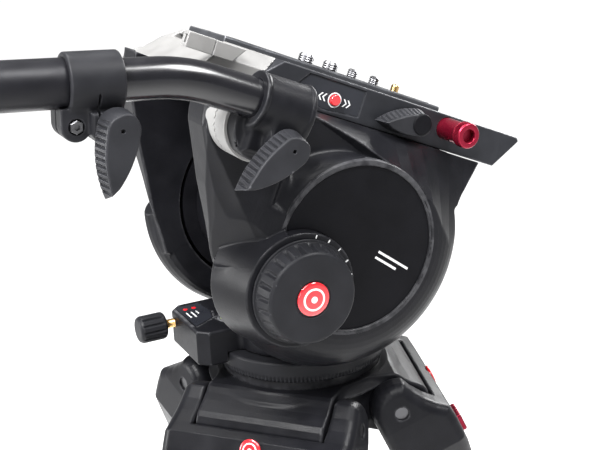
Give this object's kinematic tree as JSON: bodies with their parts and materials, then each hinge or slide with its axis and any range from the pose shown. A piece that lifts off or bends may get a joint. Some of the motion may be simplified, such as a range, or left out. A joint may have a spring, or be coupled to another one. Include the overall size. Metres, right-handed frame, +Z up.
{
  "type": "fluid video head on tripod",
  "caption": "Fluid video head with sliding camera plate and telescopic pan bar, on a half ball in the crown of a three-legged stand with extending legs.",
  "frame": {"origin": "on the floor, under the pan axis", "axes": "+Z up along the pan axis, +X towards the front of the head, the counterbalance knob and pan bar on the -Y side"},
  "size_m": [0.7638, 0.589, 0.9143],
  "materials": {
    "cast_black": "fine textured satin black paint",
    "cover_black": "fine grained satin black",
    "knob_black": "matt black with ribs",
    "lever_black": "ribbed matt dark grey",
    "lock_black": "satin black",
    "deck_grey": "satin grey anodised",
    "plate_grey": "satin grey anodised",
    "bar_gloss": "gloss black",
    "bar_matt": "matt black",
    "grip_rubber": "matt black",
    "screw_steel": "zinc plated",
    "pin_brass": "turned",
    "core_alloy": "satin black anodised",
    "rosette_metal": "black with worn tooth tips",
    "anodised_red": "satin red anodised",
    "button_red": "gloss red",
    "level_glass": "clear with a white ring",
    "catch_red": "gloss red",
    "tube_black": "satin black anodised",
    "foot_rubber": "matt black"
  },
  "bodies": {
    "crown": {"crown": "cast_black", "leg_hinge_pins": "screw_steel"},
    "half_ball": {"half_ball": "cast_black", "ball_stud": "screw_steel", "clamp_cup": "cast_black"},
    "ball_clamp_knob": {"ball_clamp_knob": "knob_black"},
    "pan_drag_ring": {"pan_drag_ring": "cast_black"},
    "pan": {"pan_base": "cast_black", "bubble_level": "level_glass", "tilt_core": "core_alloy", "tilt_axle": "screw_steel"},
    "pan_lock_knob": {"pan_lock_knob": "knob_black"},
    "tilt": {"near_cheek": "cast_black", "far_cheek": "cast_black", "near_cover": "cover_black", "far_cover": "cover_black", "spring_cartridge": "core_alloy", "drag_cartridge": "core_alloy", "rosettes": "rosette_metal", "deck": "deck_grey"},
    "camera_plate": {"camera_plate": "plate_grey", "camera_screws": "screw_steel", "locating_pin": "pin_brass"},
    "plate_lock_lever": {"plate_lock_lever": "lever_black"},
    "release_button": {"release_button": "anodised_red"},
    "journal_button": {"journal_button": "button_red"},
    "counterbalance_knob": {"counterbalance_knob": "knob_black"},
    "tilt_drag_knob": {"tilt_drag_knob": "knob_black"},
    "tilt_lock_lever": {"tilt_lock_lever": "lever_black"},
    "pan_bar": {"bar_clamp": "cast_black", "inner_bar": "bar_gloss"},
    "bar_clamp_lever": {"bar_clamp_lever": "lever_black"},
    "bar_sleeve": {"bar_lock": "cast_black", "outer_bar": "bar_matt", "bar_grip": "grip_rubber"},
    "bar_lock_lever": {"bar_lock_lever": "lever_black"},
    "leg_1": {"leg_1_yoke": "cast_black", "leg_1_upper_tube": "tube_black", "leg_1_lock": "lock_black"},
    "leg_1_angle_catch": {"leg_1_angle_catch": "catch_red"},
    "leg_1_lock_lever": {"leg_1_lock_lever": "lever_black"},
    "leg_1_slide": {"leg_1_lower_tube": "tube_black", "leg_1_foot": "foot_rubber"},
    "leg_2": {"leg_2_yoke": "cast_black", "leg_2_upper_tube": "tube_black", "leg_2_lock": "lock_black"},
    "leg_2_angle_catch": {"leg_2_angle_catch": "catch_red"},
    "leg_2_lock_lever": {"leg_2_lock_lever": "lever_black"},
    "leg_2_slide": {"leg_2_lower_tube": "tube_black", "leg_2_foot": "foot_rubber"},
    "leg_3": {"leg_3_yoke": "cast_black", "leg_3_upper_tube": "tube_black", "leg_3_lock": "lock_black"},
    "leg_3_angle_catch": {"leg_3_angle_catch": "catch_red"},
    "leg_3_lock_lever": {"leg_3_lock_lever": "lever_black"},
    "leg_3_slide": {"leg_3_lower_tube": "tube_black", "leg_3_foot": "foot_rubber"}
  },
  "joints": [
    {"name": "ball_level", "type": "hinge", "parent": "crown", "child": "half_ball", "pos_m": [0, 0, 0.67248], "axis": [1, 0, 0], "range_deg": [-5, 5]},
    {"name": "ball_clamp_turn", "type": "hinge", "parent": "half_ball", "child": "ball_clamp_knob", "pos_m": [0, 0, 0.61548], "axis": [0, 0, 1], "continuous": true},
    {"name": "pan_drag_turn", "type": "hinge", "parent": "half_ball", "child": "pan_drag_ring", "pos_m": [0, 0, 0.68548], "axis": [0, 0, 1], "range_deg": [-120, 120]},
    {"name": "pan", "type": "hinge", "parent": "half_ball", "child": "pan", "pos_m": [0, 0, 0.69548], "axis": [0, 0, 1], "continuous": true},
    {"name": "pan_lock_turn", "type": "hinge", "parent": "pan", "child": "pan_lock_knob", "pos_m": [-0.08, 0.036, 0.69748], "axis": [-1, 0, 0], "range_deg": [0, 270]},
    {"name": "tilt", "type": "hinge", "parent": "pan", "child": "tilt", "pos_m": [0, 0, 0.76548], "axis": [0, 1, 0], "range_deg": [-73, 47]},
    {"name": "plate_slide", "type": "slide", "parent": "tilt", "child": "camera_plate", "axis": [0.9205, 0, -0.3907], "range_m": [-0.05, 0]},
    {"name": "plate_lock_turn", "type": "hinge", "parent": "tilt", "child": "plate_lock_lever", "pos_m": [0.05784, -0.05, 0.82241], "axis": [0, 1, 0], "range_deg": [0, 75]},
    {"name": "release_press", "type": "slide", "parent": "tilt", "child": "release_button", "axis": [0, 1, 0], "range_m": [0, 0.003], "stiffness_N_per_m": 600},
    {"name": "journal_press", "type": "slide", "parent": "tilt", "child": "journal_button", "axis": [0, 1, 0], "range_m": [0, 0.001], "stiffness_N_per_m": 400},
    {"name": "counterbalance_turn", "type": "hinge", "parent": "tilt", "child": "counterbalance_knob", "pos_m": [-0.03856, -0.09, 0.75143], "axis": [0, 1, 0], "range_deg": [-150, 150]},
    {"name": "tilt_drag_turn", "type": "hinge", "parent": "tilt", "child": "tilt_drag_knob", "pos_m": [0, 0.085, 0.76548], "axis": [0, 1, 0], "range_deg": [-150, 150]},
    {"name": "tilt_lock_turn", "type": "hinge", "parent": "tilt", "child": "tilt_lock_lever", "pos_m": [-0.05836, 0.08, 0.78156], "axis": [0, 1, 0], "range_deg": [0, 60]},
    {"name": "bar_swing", "type": "hinge", "parent": "tilt", "child": "pan_bar", "pos_m": [-0.06147, -0.084, 0.84589], "axis": [0, -1, 0], "range_deg": [-60, 40]},
    {"name": "bar_clamp_turn", "type": "hinge", "parent": "pan_bar", "child": "bar_clamp_lever", "pos_m": [-0.05606, -0.112, 0.83816], "axis": [0, 1, 0], "range_deg": [0, 60]},
    {"name": "bar_slide", "type": "slide", "parent": "pan_bar", "child": "bar_sleeve", "axis": [-0.9976, 0, 0.0698], "range_m": [0, 0.15]},
    {"name": "bar_lock_turn", "type": "hinge", "parent": "bar_sleeve", "child": "bar_lock_lever", "pos_m": [-0.13984, -0.115, 0.86066], "axis": [0, 1, 0], "range_deg": [0, 80]},
    {"name": "leg_1_spread", "type": "hinge", "parent": "crown", "child": "leg_1", "pos_m": [-0.0379, -0.03413, 0.65348], "axis": [0.6691, -0.7431, 0], "range_deg": [0, 24]},
    {"name": "leg_1_catch_press", "type": "slide", "parent": "leg_1", "child": "leg_1_angle_catch", "axis": [0.6789, 0.6113, -0.4067], "range_m": [0, 0.003], "stiffness_N_per_m": 600},
    {"name": "leg_1_lock_turn", "type": "hinge", "parent": "leg_1", "child": "leg_1_lock_lever", "pos_m": [-0.22988, -0.20698, 0.14456], "axis": [-0.3023, -0.2722, -0.9135], "range_deg": [0, 100]},
    {"name": "leg_1_extend", "type": "slide", "parent": "leg_1", "child": "leg_1_slide", "axis": [-0.3023, -0.2722, -0.9135], "range_m": [0, 0.38]},
    {"name": "leg_2_spread", "type": "hinge", "parent": "crown", "child": "leg_2", "pos_m": [0.0485, -0.01576, 0.65348], "axis": [0.309, 0.9511, 0], "range_deg": [0, 24]},
    {"name": "leg_2_catch_press", "type": "slide", "parent": "leg_2", "child": "leg_2_angle_catch", "axis": [-0.8688, 0.2823, -0.4067], "range_m": [0, 0.003], "stiffness_N_per_m": 600},
    {"name": "leg_2_lock_turn", "type": "hinge", "parent": "leg_2", "child": "leg_2_lock_lever", "pos_m": [0.29419, -0.09559, 0.14456], "axis": [0.3868, -0.1257, -0.9135], "range_deg": [0, 100]},
    {"name": "leg_2_extend", "type": "slide", "parent": "leg_2", "child": "leg_2_slide", "axis": [0.3868, -0.1257, -0.9135], "range_m": [0, 0.38]},
    {"name": "leg_3_spread", "type": "hinge", "parent": "crown", "child": "leg_3", "pos_m": [-0.0106, 0.04989, 0.65348], "axis": [-0.9781, -0.2079, 0], "range_deg": [0, 24]},
    {"name": "leg_3_catch_press", "type": "slide", "parent": "leg_3", "child": "leg_3_angle_catch", "axis": [0.1899, -0.8936, -0.4067], "range_m": [0, 0.003], "stiffness_N_per_m": 600},
    {"name": "leg_3_lock_turn", "type": "hinge", "parent": "leg_3", "child": "leg_3_lock_lever", "pos_m": [-0.06431, 0.30257, 0.14456], "axis": [-0.0846, 0.3978, -0.9135], "range_deg": [0, 100]},
    {"name": "leg_3_extend", "type": "slide", "parent": "leg_3", "child": "leg_3_slide", "axis": [-0.0846, 0.3978, -0.9135], "range_m": [0, 0.38]}
  ]
}
